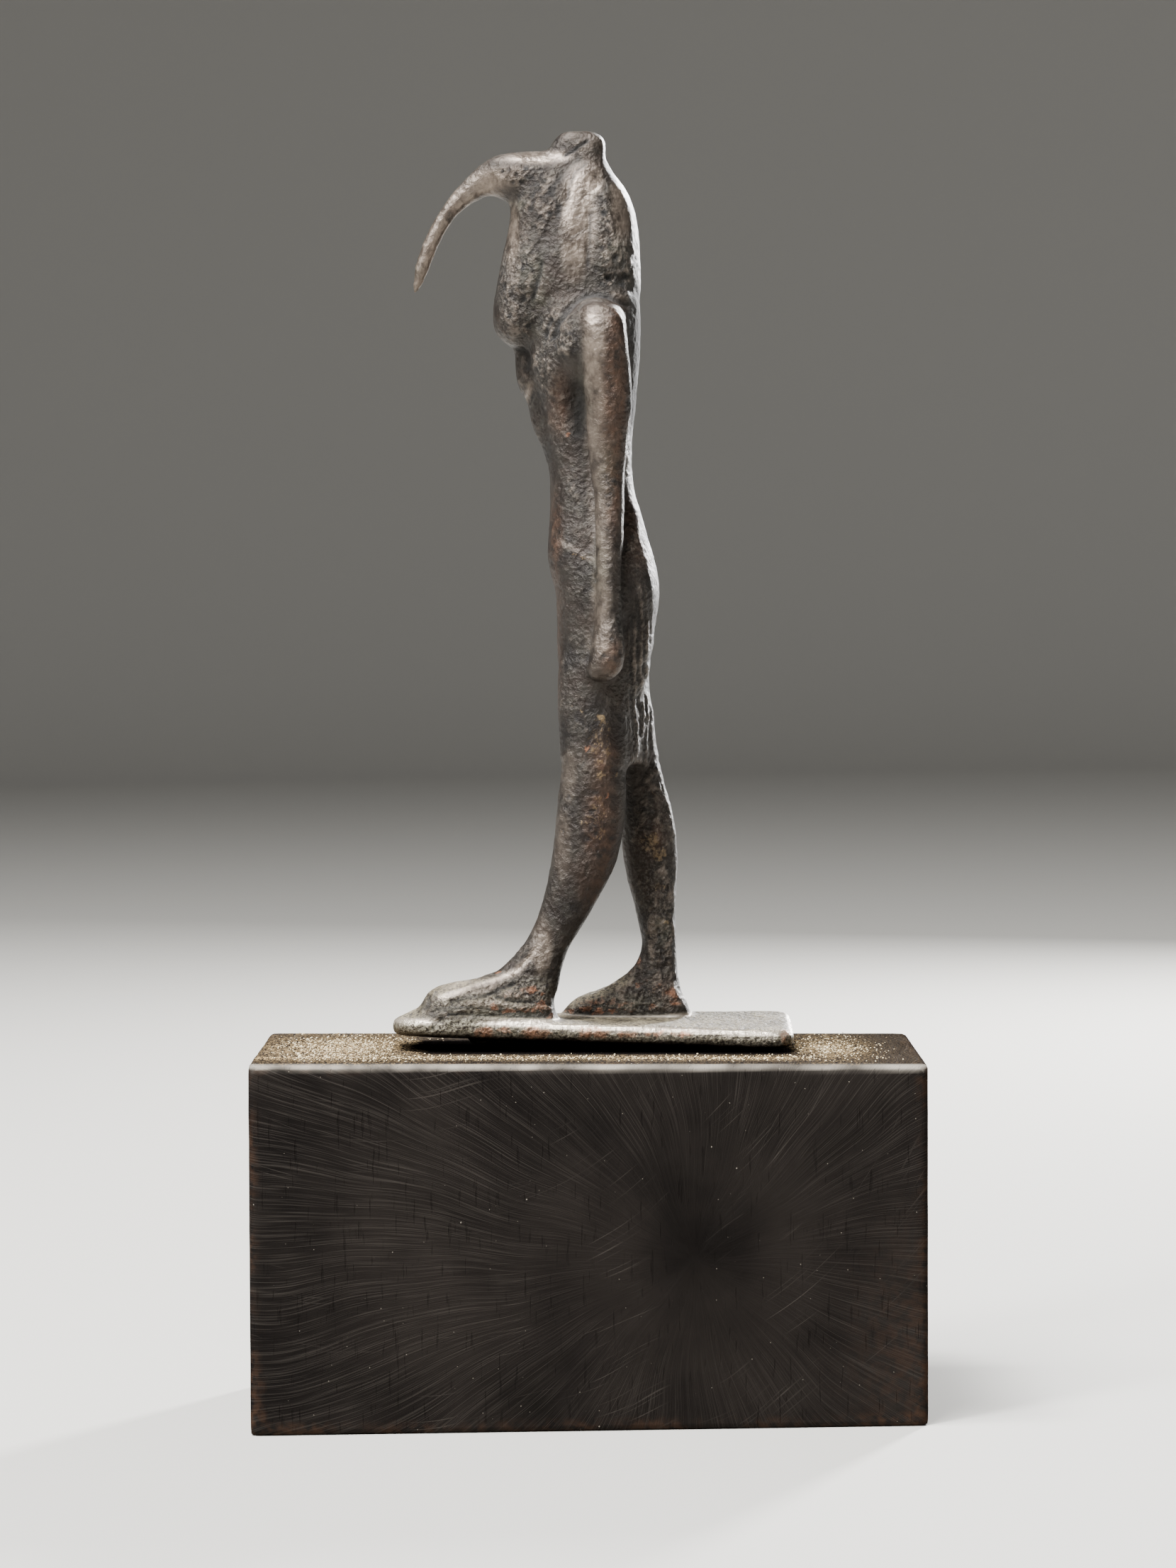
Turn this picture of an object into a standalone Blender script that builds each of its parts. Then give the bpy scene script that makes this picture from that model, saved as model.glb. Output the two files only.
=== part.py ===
"""Thoth: a small solid-cast bronze statuette of the striding ibis-headed god, on its wooden plinth.

Metres, +Z up. The origin is the middle of the plinth's underside. The figure faces -X and its left
side faces -Y. The figure and the thin base plate under its feet are one casting. The form of the
figure is kept as thousandths of its own height, measured up from the base plate and along X from
the middle of the plinth. Its left leg is advanced, its left arm hangs at its side, and the
headdress is broken away, which leaves a stump on the crown.
"""

import math

import bmesh
import bpy
from mathutils import Euler, Vector

# Plinth of dark wood: a hand-cut block, a little lower at its right end and leaning a little
plinth_width = 0.065
plinth_depth = 0.033
plinth_height_left = 0.0358
plinth_height_right = 0.0348
plinth_lean = 0.0004
plinth_round_near = 0.0009
plinth_round_far = 0.0016
plinth_round_end = 0.0006
plinth_round_upright = 0.0009
plinth_round_foot = 0.0004

# Bronze casting
figure_height = 0.090
figure_breadth = 0.88
base_length = 0.0393
base_width = 0.0120
base_thickness = 0.00178
base_lift = 0.00080
base_fall = math.radians(0.62)
base_twist = math.radians(9.46)
base_twist_from = -0.003
base_shift = 0.0005
base_corner_toe = 0.0038
base_corner_heel = 0.0019
base_edge = 0.0006
seat_length = 0.0240
seat_width = 0.0050
seat_clearance = 0.0003

# Fineness of the solid
section_sides = 28
section_step = 6.0
voxel = 0.00036
figure_triangles = 8600

# Shares of the height: where the feet meet the base plate, and how deep their forms run into it
foot_level = 28.7
sole_level = 22

# The kilt spans the gap between the thighs, between these shares of the height
kilt_hem = 308
kilt_top = 442
kilt_forms = 6

# The feet widen towards the plate, with sides straighter below their middle than above it
foot_flare = 0.25
foot_squareness = 2.4
sole_squareness = 5.0

top_slope = math.atan2(plinth_height_left - plinth_height_right, plinth_width)
plinth_height = (plinth_height_left + plinth_height_right) / 2


def share(value):
    """A length given in thousandths of the figure's height."""
    return value / 1000 * figure_height


def across_share(value):
    """A place or width across the figure, which is narrower than the rows by its breadth."""
    return share(value) * figure_breadth


def level(value):
    """The height above the seat of a point given in thousandths, measured as the foot level is."""
    return base_lift + base_thickness + share(value - foot_level)


def slopes(knots, values):
    """Slopes of a smooth curve through the values that never swings past them."""
    steps = [b - a for a, b in zip(knots, knots[1:])]
    rises = [(b - a) / s for a, b, s in zip(values, values[1:], steps)]
    result = [rises[0]]
    for before, after, s0, s1 in zip(rises, rises[1:], steps, steps[1:]):
        if before * after <= 0:
            result.append(0.0)
        else:
            w0, w1 = 2 * s1 + s0, s1 + 2 * s0
            result.append((w0 + w1) / (w0 / before + w1 / after))
    result.append(rises[-1])
    return result


def smooth_rows(rows, step):
    """Reads a table of rows at every step of its first column, along smooth curves."""
    knots = [row[0] for row in rows]
    columns = list(zip(*rows))[1:]
    tangents = [slopes(knots, column) for column in columns]
    result = []
    for i in range(len(rows) - 1):
        span = knots[i + 1] - knots[i]
        parts = max(1, round(abs(span) / step))
        for k in range(parts):
            t = k / parts
            h00, h10 = 2 * t**3 - 3 * t**2 + 1, t**3 - 2 * t**2 + t
            h01, h11 = 3 * t**2 - 2 * t**3, t**3 - t**2
            values = [h00 * c[i] + h10 * span * m[i] + h01 * c[i + 1] + h11 * span * m[i + 1]
                      for c, m in zip(columns, tangents)]
            result.append([knots[i] + t * span] + values)
    result.append(list(rows[-1]))
    return result


def bulge(angle, squareness):
    """A unit section: a circle for squareness 2, and fuller at the corners above it."""
    c, s = math.cos(angle), math.sin(angle)
    power = 2 / squareness
    return math.copysign(abs(c)**power, c), math.copysign(abs(s)**power, s)


def skin(bm, rings):
    """Joins closed rings of as many points each into one closed body."""
    loops = [[bm.verts.new(point) for point in ring] for ring in rings]
    for lower, upper in zip(loops, loops[1:]):
        for i in range(len(lower)):
            j = (i + 1) % len(lower)
            bm.faces.new((lower[i], lower[j], upper[j], upper[i]))
    bm.faces.new(list(reversed(loops[0])))
    bm.faces.new(loops[-1])


def upright(bm, rows, squareness=2.2):
    """A form of level sections. Rows: height, front, back, middle across, half-width."""
    rings = []
    for height, front, back, across, half in smooth_rows(sorted(rows), section_step):
        ring = []
        for i in range(section_sides):
            u, v = bulge(2 * math.pi * i / section_sides, squareness)
            x = (front + back) / 2 + (back - front) / 2 * u
            ring.append(Vector((share(x), across_share(across + half * v), level(height))))
        rings.append(ring)
    skin(bm, rings)


def spanning(bm, first, second, low, high, forms):
    """Cloth drawn round two upright forms: in-between forms that fill the gap over a stretch of height."""
    first, second = ([row for row in smooth_rows(sorted(rows), 1.0) if low <= row[0] <= high]
                     for rows in (first, second))
    for i in range(1, forms):
        part = i / forms
        upright(bm, [[a + (b - a) * part for a, b in zip(one, other)] for one, other in zip(first, second)])


def lying(bm, rows, foot):
    """A foot: sections square to X that widen downwards. Rows: place, top, middle across, half-width."""
    rings = []
    for place, top, across, half in smooth_rows(sorted(rows), section_step):
        ring = []
        for i in range(section_sides):
            angle = 2 * math.pi * i / section_sides
            u, v = bulge(angle, foot_squareness if math.sin(angle) > 0 else sole_squareness)
            height = foot + (top - foot) * (0.5 + 0.5 * v)
            width = half * (1 + foot_flare * (0.5 - 0.5 * v))
            ring.append(Vector((share(place), across_share(across - width * u), level(height))))
        rings.append(ring)
    skin(bm, rings)


def swept(bm, rows, squareness=2.0):
    """The head and beak along a curved line. Rows: place on the line, height, X, radius, half-width."""
    line = smooth_rows(rows, 0.25)
    points = [Vector((share(x), 0, level(h))) for _, h, x, _, _ in line]
    rings = []
    for i, (_, _, _, radius, half) in enumerate(line):
        ahead = points[min(i + 1, len(points) - 1)]
        behind = points[max(i - 1, 0)]
        along = (ahead - behind).normalized()
        normal = along.cross(Vector((0, 1, 0)))
        ring = []
        for k in range(section_sides):
            u, v = bulge(2 * math.pi * k / section_sides, squareness)
            ring.append(points[i] + normal * share(radius) * u + Vector((0, across_share(half) * v, 0)))
        rings.append(ring)
    skin(bm, rings)


# Rows of the forms: height, front, back, middle across, half-width
trunk_rows = [
    (380, -20, 56, 0, 44), (402, -29, 63, 0, 58), (425, -32.6, 68.4, 0, 70), (455, -33, 72.4, 0, 75),
    (492, -34, 78, 0, 77), (507, -38, 76.8, 0, 76), (524, -42.2, 73.5, 0, 74), (537, -43.8, 70, 0, 71),
    (555, -42.5, 64.6, 0, 67), (584, -40.8, 57, 0, 61), (609, -40.6, 49.6, 0, 57),
    (637, -42, 46.8, 0, 55), (667, -44, 48.2, 0, 58), (690, -46.5, 51, 0, 64), (707, -51, 52.2, 0, 68),
    (724, -58, 53.8, 0, 72), (741, -62, 55, 0, 76), (763, -62, 56.5, 0, 80), (790, -60, 57.2, 0, 86),
    (808, -48, 56, 0, 84), (824, -30, 50, 0, 66), (834, -10, 36, 0, 40)]

lobe_rows = [
    (626, -40, -10, 8, 18), (640, -45, -10, 12, 24), (648, -47, -10, 14, 26),
    (657, -51.2, -10, 16, 27), (667, -55.4, -10, 18, 28), (680, -61.4, -10, 20, 29),
    (698, -65.2, -10, 21, 30), (708, -68, -10, 22, 31), (716, -75, -10, 22, 32),
    (725, -77.6, -10, 22, 32), (742, -79.6, -10, 22, 32), (762, -78.8, -10, 20, 30),
    (776, -72, -10, 18, 24)]

wig_rows = [
    (763, -84, -60, 0, 24), (767, -90, -52, 0, 34), (775, -97.5, -42, 0, 44), (788, -102.4, -30, 0, 52),
    (800, -103, -8, 0, 58), (808, -102.2, 34, 0, 62), (815, -101.2, 56, 0, 66),
    (831, -98.5, 57.3, 0, 69), (849, -95.6, 57, 0, 69), (865, -92, 56, 0, 67), (885, -87.6, 54.8, 0, 63),
    (906, -84.2, 51.8, 0, 57), (918, -84, 48, 0, 53), (930, -80, 43.2, 0, 49), (943, -74, 34, 0, 44),
    (956, -62, 25, 0, 38), (966, -48, 19, 0, 31), (974, -30, 14, 0, 22)]

stump_rows = [
    (944, -26, 22, 0, 24), (958, -37, 22.5, 0, 27), (968, -41, 18.4, 0, 28), (975, -42.4, 18.8, 0, 28),
    (981, -40.4, 20.5, 0, 28), (988, -35, 18.2, 0, 26), (993, -31.4, 13, 0, 22), (996, -27, 7, 0, 17)]

left_leg_rows = [
    (20, -66, -42, -36, 16), (31, -76, -34, -36, 21), (38, -84, -34, -36, 23), (45, -90, -38.6, -36, 24),
    (53, -98, -40, -36, 24), (59, -104, -34, -36, 25), (67, -106, -31.5, -36, 25),
    (82, -99, -29.4, -36, 24), (97, -84, -25.4, -36, 22), (110, -72, -20, -37, 20),
    (123, -63.2, -11.6, -37, 20), (140, -55.6, -1.4, -37, 21), (161, -48.8, 10.2, -37, 23),
    (184, -43, 23.5, -37, 26), (203, -40, 31.2, -37, 28), (217, -37.8, 35.1, -37, 29),
    (242, -35.2, 39.3, -37, 31), (273, -32.3, 40.8, -37, 32), (289, -29.8, 40.5, -37, 33),
    (303, -28.5, 41, -37, 33), (330, -29.9, 43, -37, 33), (365, -31.4, 45, -37, 34),
    (395, -32.2, 46, -37, 35), (425, -31, 45, -36, 33), (445, -22, 39, -34, 27), (462, -8, 28, -32, 16)]

right_leg_rows = [
    (20, 56, 104, 36, 16), (31, 44, 112, 36, 20), (38, 42, 109, 36, 22), (46, 42, 106, 36, 23),
    (59, 45, 102.2, 36, 23), (80, 50, 99, 36, 22), (98, 58, 97.6, 36, 21), (109, 60, 97.2, 37, 20),
    (127, 56.8, 96.8, 37, 21), (153, 51.2, 96.2, 37, 22), (178, 43.2, 97.8, 37, 24),
    (197, 39.8, 98.4, 37, 26), (218, 37.1, 97.2, 37, 28), (242, 36, 94.8, 37, 30), (270, 35, 89, 37, 31),
    (287, 34, 83.4, 37, 31), (303, 32, 78.8, 37, 32), (324, 28, 74.9, 37, 33), (345, 22, 71.8, 37, 33),
    (366, 14, 69.3, 37, 34), (395, 0, 67.4, 37, 35), (425, -12, 67.6, 36, 33), (445, -6, 62, 34, 27),
    (462, 4, 48, 32, 16)]

arm_rows = [
    (401, 8, 24, 87, 8), (405, 1, 31, 87, 17), (412, -1.4, 36.2, 88, 21), (424, 1.6, 39.2, 88, 23),
    (436, 3.5, 39.2, 88, 22), (450, 5.8, 37.4, 88, 20.5), (470, 8.4, 36, 89, 18.5),
    (490, 9.2, 35.3, 90, 18), (522, 9, 35.4, 90, 18), (553, 8.6, 38.2, 87, 19), (598, 7.2, 39.2, 82, 21),
    (621, 3.4, 39.4, 80, 22), (644, 0.4, 42, 81, 23), (667, -0.4, 43.8, 84, 24), (688, -1.2, 46.6, 88, 25),
    (709, -3, 47.4, 92, 26), (730, -5, 45.6, 95, 27), (750, -6.4, 43.8, 97, 28),
    (772, -8.7, 41.6, 98, 28), (790, -10, 39.4, 95, 27), (800, -8.4, 36, 90, 24), (807, 2, 26, 85, 14)]

shoulder_rows = [
    (712, -8, 26, 66, 12), (730, -22, 34, 70, 22), (750, -30, 38, 74, 28), (770, -33, 40, 76, 31),
    (790, -30, 40, 76, 30), (803, -20, 36, 74, 24), (812, -6, 26, 70, 14)]

# Rows of the feet: place, top, middle across, half-width
left_foot_rows = [
    (-207, 32.5, -36, 14), (-194, 38, -36, 19), (-183, 43.6, -36, 22), (-178.6, 51, -36, 23),
    (-176, 58, -36, 25), (-170, 64, -36, 28), (-152, 69, -37, 31), (-134, 72.2, -37, 31),
    (-116, 76.4, -37, 29), (-99, 82, -37, 27), (-80, 80, -37, 26), (-50, 66, -36, 24), (-38, 52, -36, 20)]

right_foot_rows = [
    (-26, 35, 36, 14), (-19, 43, 36, 21), (-10.6, 49.4, 37, 26), (6, 55.4, 37, 29), (27, 63.6, 37, 29),
    (43, 75, 37, 27), (54, 85.8, 37, 24), (70, 90, 37, 22), (90, 74, 36, 23), (101, 58, 36, 21),
    (110, 42, 36, 15)]

# The head and beak, from inside the wig to the tip: place, height, X, radius, half-width
head_rows = [
    (0, 938, -20, 34, 30), (1, 943.5, -50, 31.6, 36), (2, 946, -74, 28.8, 36), (3, 947.5, -94, 25, 29),
    (4, 945.5, -106, 20.2, 21), (5, 939.3, -118.2, 15.4, 15), (6, 930.8, -130.3, 12.4, 12),
    (7, 920.8, -141.3, 11.2, 10.5), (8, 909.7, -151, 10, 9.5), (9, 890.8, -163, 9.4, 8.6),
    (10, 867, -174.4, 8.9, 8), (11, 848, -180.6, 8.7, 7.4), (12, 834, -184.8, 7, 6),
    (13, 824.5, -187.8, 4.8, 4), (14, 818.5, -189.8, 2.2, 2)]

# Grooves of the casting, as lines of X and height, with their width and depth
groove_rows = [
    ("face edge of the wig", [(-10, 966), (-24, 955), (-33, 941), (-41, 926)], 6.5, 3.4),
    ("crease beside it", [(-2, 961), (-13, 951), (-20, 940), (-24, 922), (-31, 906)], 4.5, 1.8),
    ("wig between its lappet and back", [(-33, 905), (-44, 878), (-50, 851), (-56, 826), (-64, 805)], 6, 2.6),
    ("lappet to the shoulder", [(-42, 789), (-46, 772), (-56, 764), (-74, 766)], 6, 3.6),
    ("hem of the wig", [(-30, 800), (-16, 811), (-4, 817), (10, 818), (26, 813), (46, 802)], 6.5, 4.6),
    ("chest beside the arm", [(-16, 802), (-23, 788), (-35, 770), (-40, 756)], 8, 3.8),
    ("crack in the stump", [(-5, 992), (-17, 981), (-28, 975)], 4.5, 2.4)]

# Hollows and swellings on the sides: X, height, radius, depth inwards
hollow_rows = [(-14, 706, 24, 5), (-22, 690, 18, 3), (60, 470, 20, 6), (56, 610, 16, 3),
               (-28, 742, 20, -4), (-30, 535, 24, -2), (58, 500, 22, -4), (4, 300, 30, -2)]


def near_line(point, line):
    """Distance from a point to a line through points, all as X and height."""
    best = None
    for a, b in zip(line, line[1:]):
        along = b - a
        t = max(0.0, min(1.0, (point - a).dot(along) / along.length_squared))
        distance = (point - a - along * t).length
        best = distance if best is None else min(best, distance)
    return best


def carve(bm):
    """Presses the grooves and hollows into both sides, as far as a side faces outwards."""
    lines = [([Vector((share(x), level(h))) for x, h in points], share(width), share(depth))
             for _, points, width, depth in groove_rows]
    spots = [(Vector((share(x), level(h))), share(radius), share(depth))
             for x, h, radius, depth in hollow_rows]
    bm.normal_update()
    moves = {}
    for vert in bm.verts:
        flat = Vector((vert.co.x, vert.co.z))
        push = 0.0
        for line, width, depth in lines:
            push += depth * math.exp(-(near_line(flat, line) / width)**2)
        for centre, radius, depth in spots:
            push += depth * math.exp(-((flat - centre).length / radius)**2)
        facing = max(0.0, abs(vert.normal.y) - 0.15) / 0.85
        moves[vert] = vert.normal * (-push * facing)
    for vert, move in moves.items():
        vert.co += move


def material(name, colour, roughness, metallic):
    """A plain surface with a colour, a roughness and a metallic value."""
    result = bpy.data.materials.new(name)
    result.use_nodes = True
    shader = result.node_tree.nodes["Principled BSDF"]
    shader.inputs["Base Color"].default_value = (*colour, 1)
    shader.inputs["Roughness"].default_value = roughness
    shader.inputs["Metallic"].default_value = metallic
    return result


def add_object(name, mesh, finish, collection):
    """A named object with one finish, in the part's collection."""
    thing = bpy.data.objects.new(name, mesh)
    thing.data.materials.append(finish)
    collection.objects.link(thing)
    return thing


def is_upright(edge):
    """Whether an edge of the base plate runs up and down."""
    return abs(edge.verts[0].co.z - edge.verts[1].co.z) > base_thickness / 2


def rounded_plate():
    """The plate lying flat and centred: its corners rounded in plan, more at the toes, then its rims."""
    bm = bmesh.new()
    bmesh.ops.create_cube(bm, size=1)
    bmesh.ops.scale(bm, vec=(base_length, base_width, base_thickness), verts=bm.verts)
    for end, radius in ((-1, base_corner_toe), (1, base_corner_heel)):
        corners = [e for e in bm.edges if is_upright(e) and e.verts[0].co.x * end > base_length * 0.49]
        bmesh.ops.bevel(bm, geom=corners, offset=radius, segments=6, profile=0.5, affect="EDGES")
    rims = [e for e in bm.edges if not is_upright(e)]
    bmesh.ops.bevel(bm, geom=rims, offset=base_edge, segments=3, profile=0.5, affect="EDGES")
    for i in range(1, 10):
        cut_at_length(bm, base_length * (i / 10 - 0.5), Vector((1, 0, 0)))
    for i in range(1, 4):
        cut_at_length(bm, base_width * (i / 4 - 0.5), Vector((0, 1, 0)))
    return bm


def cut_at_length(bm, distance, normal):
    """Adds a line of edges round a shape, where the cast plate can bend."""
    everything = bm.verts[:] + bm.edges[:] + bm.faces[:]
    bmesh.ops.bisect_plane(bm, geom=everything, plane_co=normal * distance, plane_no=normal, dist=1e-6)


def base_plate(bm):
    """The thin plate under the feet, and the thicker middle of its underside, which it rests on.

    The plate falls a little to the heels and is twisted along its length, as a casting warps.
    """
    plate = rounded_plate()
    middle = base_lift + base_thickness / 2
    for vert in plate.verts:
        along = vert.co.x + base_shift
        vert.co.z += middle - math.tan(base_fall) * (along - base_twist_from)
        vert.co.z += math.tan(base_twist) / base_length * (along - base_twist_from) * vert.co.y
        vert.co.x = along
    seat = bmesh.new()
    seat_height = base_lift + base_thickness / 2
    made = bmesh.ops.create_cube(seat, size=1)["verts"]
    bmesh.ops.scale(seat, vec=(seat_length, seat_width, seat_height), verts=made)
    bmesh.ops.translate(seat, vec=(base_shift, 0, seat_height / 2), verts=made)
    for piece in (plate, seat):
        mesh = bpy.data.meshes.new("base")
        piece.to_mesh(mesh)
        piece.free()
        bm.from_mesh(mesh)
        bpy.data.meshes.remove(mesh)


def make_figure(collection, seat):
    """The casting: its forms run into one body, grooved, and thinned to flat facets."""
    bm = bmesh.new()
    upright(bm, trunk_rows, 2.7)
    upright(bm, lobe_rows)
    upright(bm, wig_rows, 2.4)
    upright(bm, stump_rows, 2.6)
    upright(bm, left_leg_rows)
    upright(bm, right_leg_rows)
    spanning(bm, left_leg_rows, right_leg_rows, kilt_hem, kilt_top, kilt_forms)
    for rows in (arm_rows, shoulder_rows):
        upright(bm, rows)
        upright(bm, [(h, front, back, -across, half) for h, front, back, across, half in rows])
    lying(bm, left_foot_rows, sole_level)
    lying(bm, right_foot_rows, sole_level)
    swept(bm, head_rows)
    base_plate(bm)
    mesh = bpy.data.meshes.new("thoth_forms")
    bm.to_mesh(mesh)
    bm.free()
    forms = bpy.data.objects.new("thoth_forms", mesh)
    collection.objects.link(forms)
    union = forms.modifiers.new("Union", "REMESH")
    union.mode = "VOXEL"
    union.voxel_size = voxel
    soften = forms.modifiers.new("Soften", "SMOOTH")
    soften.factor = 0.5
    soften.iterations = 2
    joined = bpy.data.meshes.new_from_object(forms.evaluated_get(bpy.context.evaluated_depsgraph_get()))
    bpy.data.objects.remove(forms)

    bm = bmesh.new()
    bm.from_mesh(joined)
    carve(bm)
    bm.to_mesh(joined)
    bm.free()
    joined.name = "thoth_figure"
    bronze = material("patinated_bronze", (0.060, 0.050, 0.042), 0.42, 0.85)
    figure = add_object("thoth_figure", joined, bronze, collection)
    thin = figure.modifiers.new("Thin", "DECIMATE")
    thin.ratio = figure_triangles / sum(len(face.vertices) - 2 for face in joined.polygons)
    figure.parent = seat
    return figure


def make_plinth(collection):
    """The wooden block: its bottom is level, and its top falls to the right and leans with it."""
    bm = bmesh.new()
    made = bmesh.ops.create_cube(bm, size=1)["verts"]
    bmesh.ops.scale(bm, vec=(plinth_width, plinth_depth, 1), verts=made)
    for vert in made:
        on_top = vert.co.z > 0
        height = plinth_height_left if vert.co.x < 0 else plinth_height_right
        vert.co.z = height if on_top else 0.0
        vert.co.x += plinth_lean / 2 if on_top else -plinth_lean / 2
    weights = bm.edges.layers.float.new("bevel_weight_edge")
    widest = max(plinth_round_near, plinth_round_far, plinth_round_end, plinth_round_upright,
                 plinth_round_foot)
    for edge in bm.edges:
        a, b = edge.verts[0].co, edge.verts[1].co
        if abs(a.z - b.z) > plinth_height / 2:
            radius = plinth_round_upright
        elif a.z == 0:
            radius = plinth_round_foot
        elif abs(a.y - b.y) > plinth_depth / 2:
            radius = plinth_round_end
        else:
            radius = plinth_round_near if a.y < 0 else plinth_round_far
        edge[weights] = radius / widest
    mesh = bpy.data.meshes.new("plinth")
    bm.to_mesh(mesh)
    bm.free()
    wood = material("dark_wood", (0.022, 0.018, 0.015), 0.55, 0.0)
    plinth = add_object("plinth", mesh, wood, collection)
    rounding = plinth.modifiers.new("Rounding", "BEVEL")
    rounding.width = widest
    rounding.segments = 4
    rounding.limit_method = "WEIGHT"
    return plinth


def main():
    for thing in list(bpy.data.objects):
        bpy.data.objects.remove(thing)
    collection = bpy.data.collections.new("thoth_statuette")
    bpy.context.scene.collection.children.link(collection)
    make_plinth(collection)
    seat = bpy.data.objects.new("figure_seat", None)
    seat.location = (plinth_lean / 2, 0, plinth_height + seat_clearance / math.cos(top_slope))
    seat.rotation_euler = Euler((0, top_slope, 0))
    collection.objects.link(seat)
    make_figure(collection, seat)


main()
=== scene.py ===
# Thoth: a small worn bronze of the striding ibis-headed god, fixed on a block of blackened wood.
# Metres, +Z up. The figure faces -X and its left side faces -Y, towards the camera.

import math
import random

import bmesh
import bpy
import numpy as np
from mathutils import Matrix, Vector, noise
from mathutils.bvhtree import BVHTree


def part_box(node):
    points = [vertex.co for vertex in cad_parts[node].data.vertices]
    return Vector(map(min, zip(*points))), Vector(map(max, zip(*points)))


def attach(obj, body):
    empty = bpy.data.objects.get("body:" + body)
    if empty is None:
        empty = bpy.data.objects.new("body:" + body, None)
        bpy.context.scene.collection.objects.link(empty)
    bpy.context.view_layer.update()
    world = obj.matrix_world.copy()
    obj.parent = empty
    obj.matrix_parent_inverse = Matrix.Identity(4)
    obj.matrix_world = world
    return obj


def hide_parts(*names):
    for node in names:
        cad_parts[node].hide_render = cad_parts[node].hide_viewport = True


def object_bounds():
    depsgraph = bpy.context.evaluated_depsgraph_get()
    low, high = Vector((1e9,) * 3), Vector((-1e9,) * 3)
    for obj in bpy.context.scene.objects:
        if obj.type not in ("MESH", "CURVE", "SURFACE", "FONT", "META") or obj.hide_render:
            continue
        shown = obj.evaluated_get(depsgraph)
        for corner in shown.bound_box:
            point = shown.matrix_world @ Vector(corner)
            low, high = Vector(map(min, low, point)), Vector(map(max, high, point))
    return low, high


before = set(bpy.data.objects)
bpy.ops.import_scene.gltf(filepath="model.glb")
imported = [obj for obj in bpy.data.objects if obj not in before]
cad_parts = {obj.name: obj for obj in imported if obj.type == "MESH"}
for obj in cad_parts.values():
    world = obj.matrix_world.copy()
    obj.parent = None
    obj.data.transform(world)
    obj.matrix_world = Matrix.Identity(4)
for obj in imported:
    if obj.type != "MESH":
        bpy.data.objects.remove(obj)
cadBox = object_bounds()
print("frame loaded:", sorted(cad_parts))

# The seat: the figure's own frame, on the sloping top of the block
seat = {
    "lean": 0.0002,                          # the block's top sits this far to the heel side
    "height": 0.0353,                        # middle of the block's top
    "slope": math.atan2(0.001, 0.065),       # fall of the top towards the heels
    "clearance": 0.0003,
    "tall": 0.090,                           # the figure's height, whose thousandths place its details
}
blockTop = (Matrix.Translation((seat["lean"], 0, seat["height"]))
            @ Matrix.Rotation(seat["slope"], 4, "Y"))
figureSeat = blockTop @ Matrix.Translation((0, 0, seat["clearance"]))


def linearColour(hexText):  # sRGB hex to the linear values a shader takes
    parts = [int(hexText[i:i + 2], 16) / 255 for i in (1, 3, 5)]
    linear = [c / 12.92 if c <= 0.04045 else ((c + 0.055) / 1.055)**2.4 for c in parts]
    return (*linear, 1.0)


def perMetre(millimetres):  # noise scale for a feature of this size
    return 1000 / millimetres


def addNode(tree, kind, output, inputs, **settings):  # a node with its settings and links; gives one output
    node = tree.nodes.new("ShaderNode" + kind)
    for name, value in settings.items():
        setattr(node, name, value)
    for key, value in inputs.items():
        if isinstance(value, bpy.types.NodeSocket):
            tree.links.new(value, node.inputs[key])
        else:
            node.inputs[key].default_value = value
    return node.outputs[output]


def newMaterial(name):
    material = bpy.data.materials.new(name)
    material.use_nodes = True
    return material, material.node_tree, material.node_tree.nodes["Principled BSDF"]


def newPiece(name, mesh, material):
    piece = bpy.data.objects.new(name, mesh)
    bpy.context.scene.collection.objects.link(piece)
    mesh.materials.clear()
    mesh.materials.append(material)
    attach(piece, "root")
    return piece


def fineCopy(node, voxelSize):  # the solid again in small even faces, and the solid with its doubles merged
    bm = bmesh.new()
    bm.from_mesh(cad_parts[node].data)
    bmesh.ops.remove_doubles(bm, verts=bm.verts, dist=1e-6)
    coarse = bpy.data.meshes.new(node + "_coarse")
    bm.to_mesh(coarse)
    bm.free()
    holder = bpy.data.objects.new(node + "_coarse", coarse)
    bpy.context.scene.collection.objects.link(holder)
    remesh = holder.modifiers.new("Remesh", "REMESH")
    remesh.mode = "VOXEL"
    remesh.voxel_size = voxelSize
    bpy.context.view_layer.update()
    fine = bpy.data.meshes.new_from_object(holder.evaluated_get(bpy.context.evaluated_depsgraph_get()))
    bpy.data.objects.remove(holder)
    print(node, "in small faces:", sum(len(f.vertices) - 2 for f in fine.polygons), "triangles")
    return fine, coarse


def readPoints(mesh):
    points = np.zeros(len(mesh.vertices) * 3)
    mesh.vertices.foreach_get("co", points)
    return points.reshape(-1, 3)


def readNormals(mesh):
    normals = np.zeros(len(mesh.vertices) * 3)
    mesh.vertex_normals.foreach_get("vector", normals)
    return normals.reshape(-1, 3)


def writePoints(mesh, points):
    mesh.vertices.foreach_set("co", points.ravel())
    mesh.update()


def writeMarks(mesh, marks):  # one number for each vertex, which the material reads by name
    for name, values in marks.items():
        layer = mesh.attributes.new(name, "FLOAT", "POINT")
        layer.data.foreach_set("value", np.clip(values, 0, 1).astype(np.float32))


def intoFrame(points, matrix):
    m = np.array(matrix)
    return points @ m[:3, :3].T + m[:3, 3]


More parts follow.
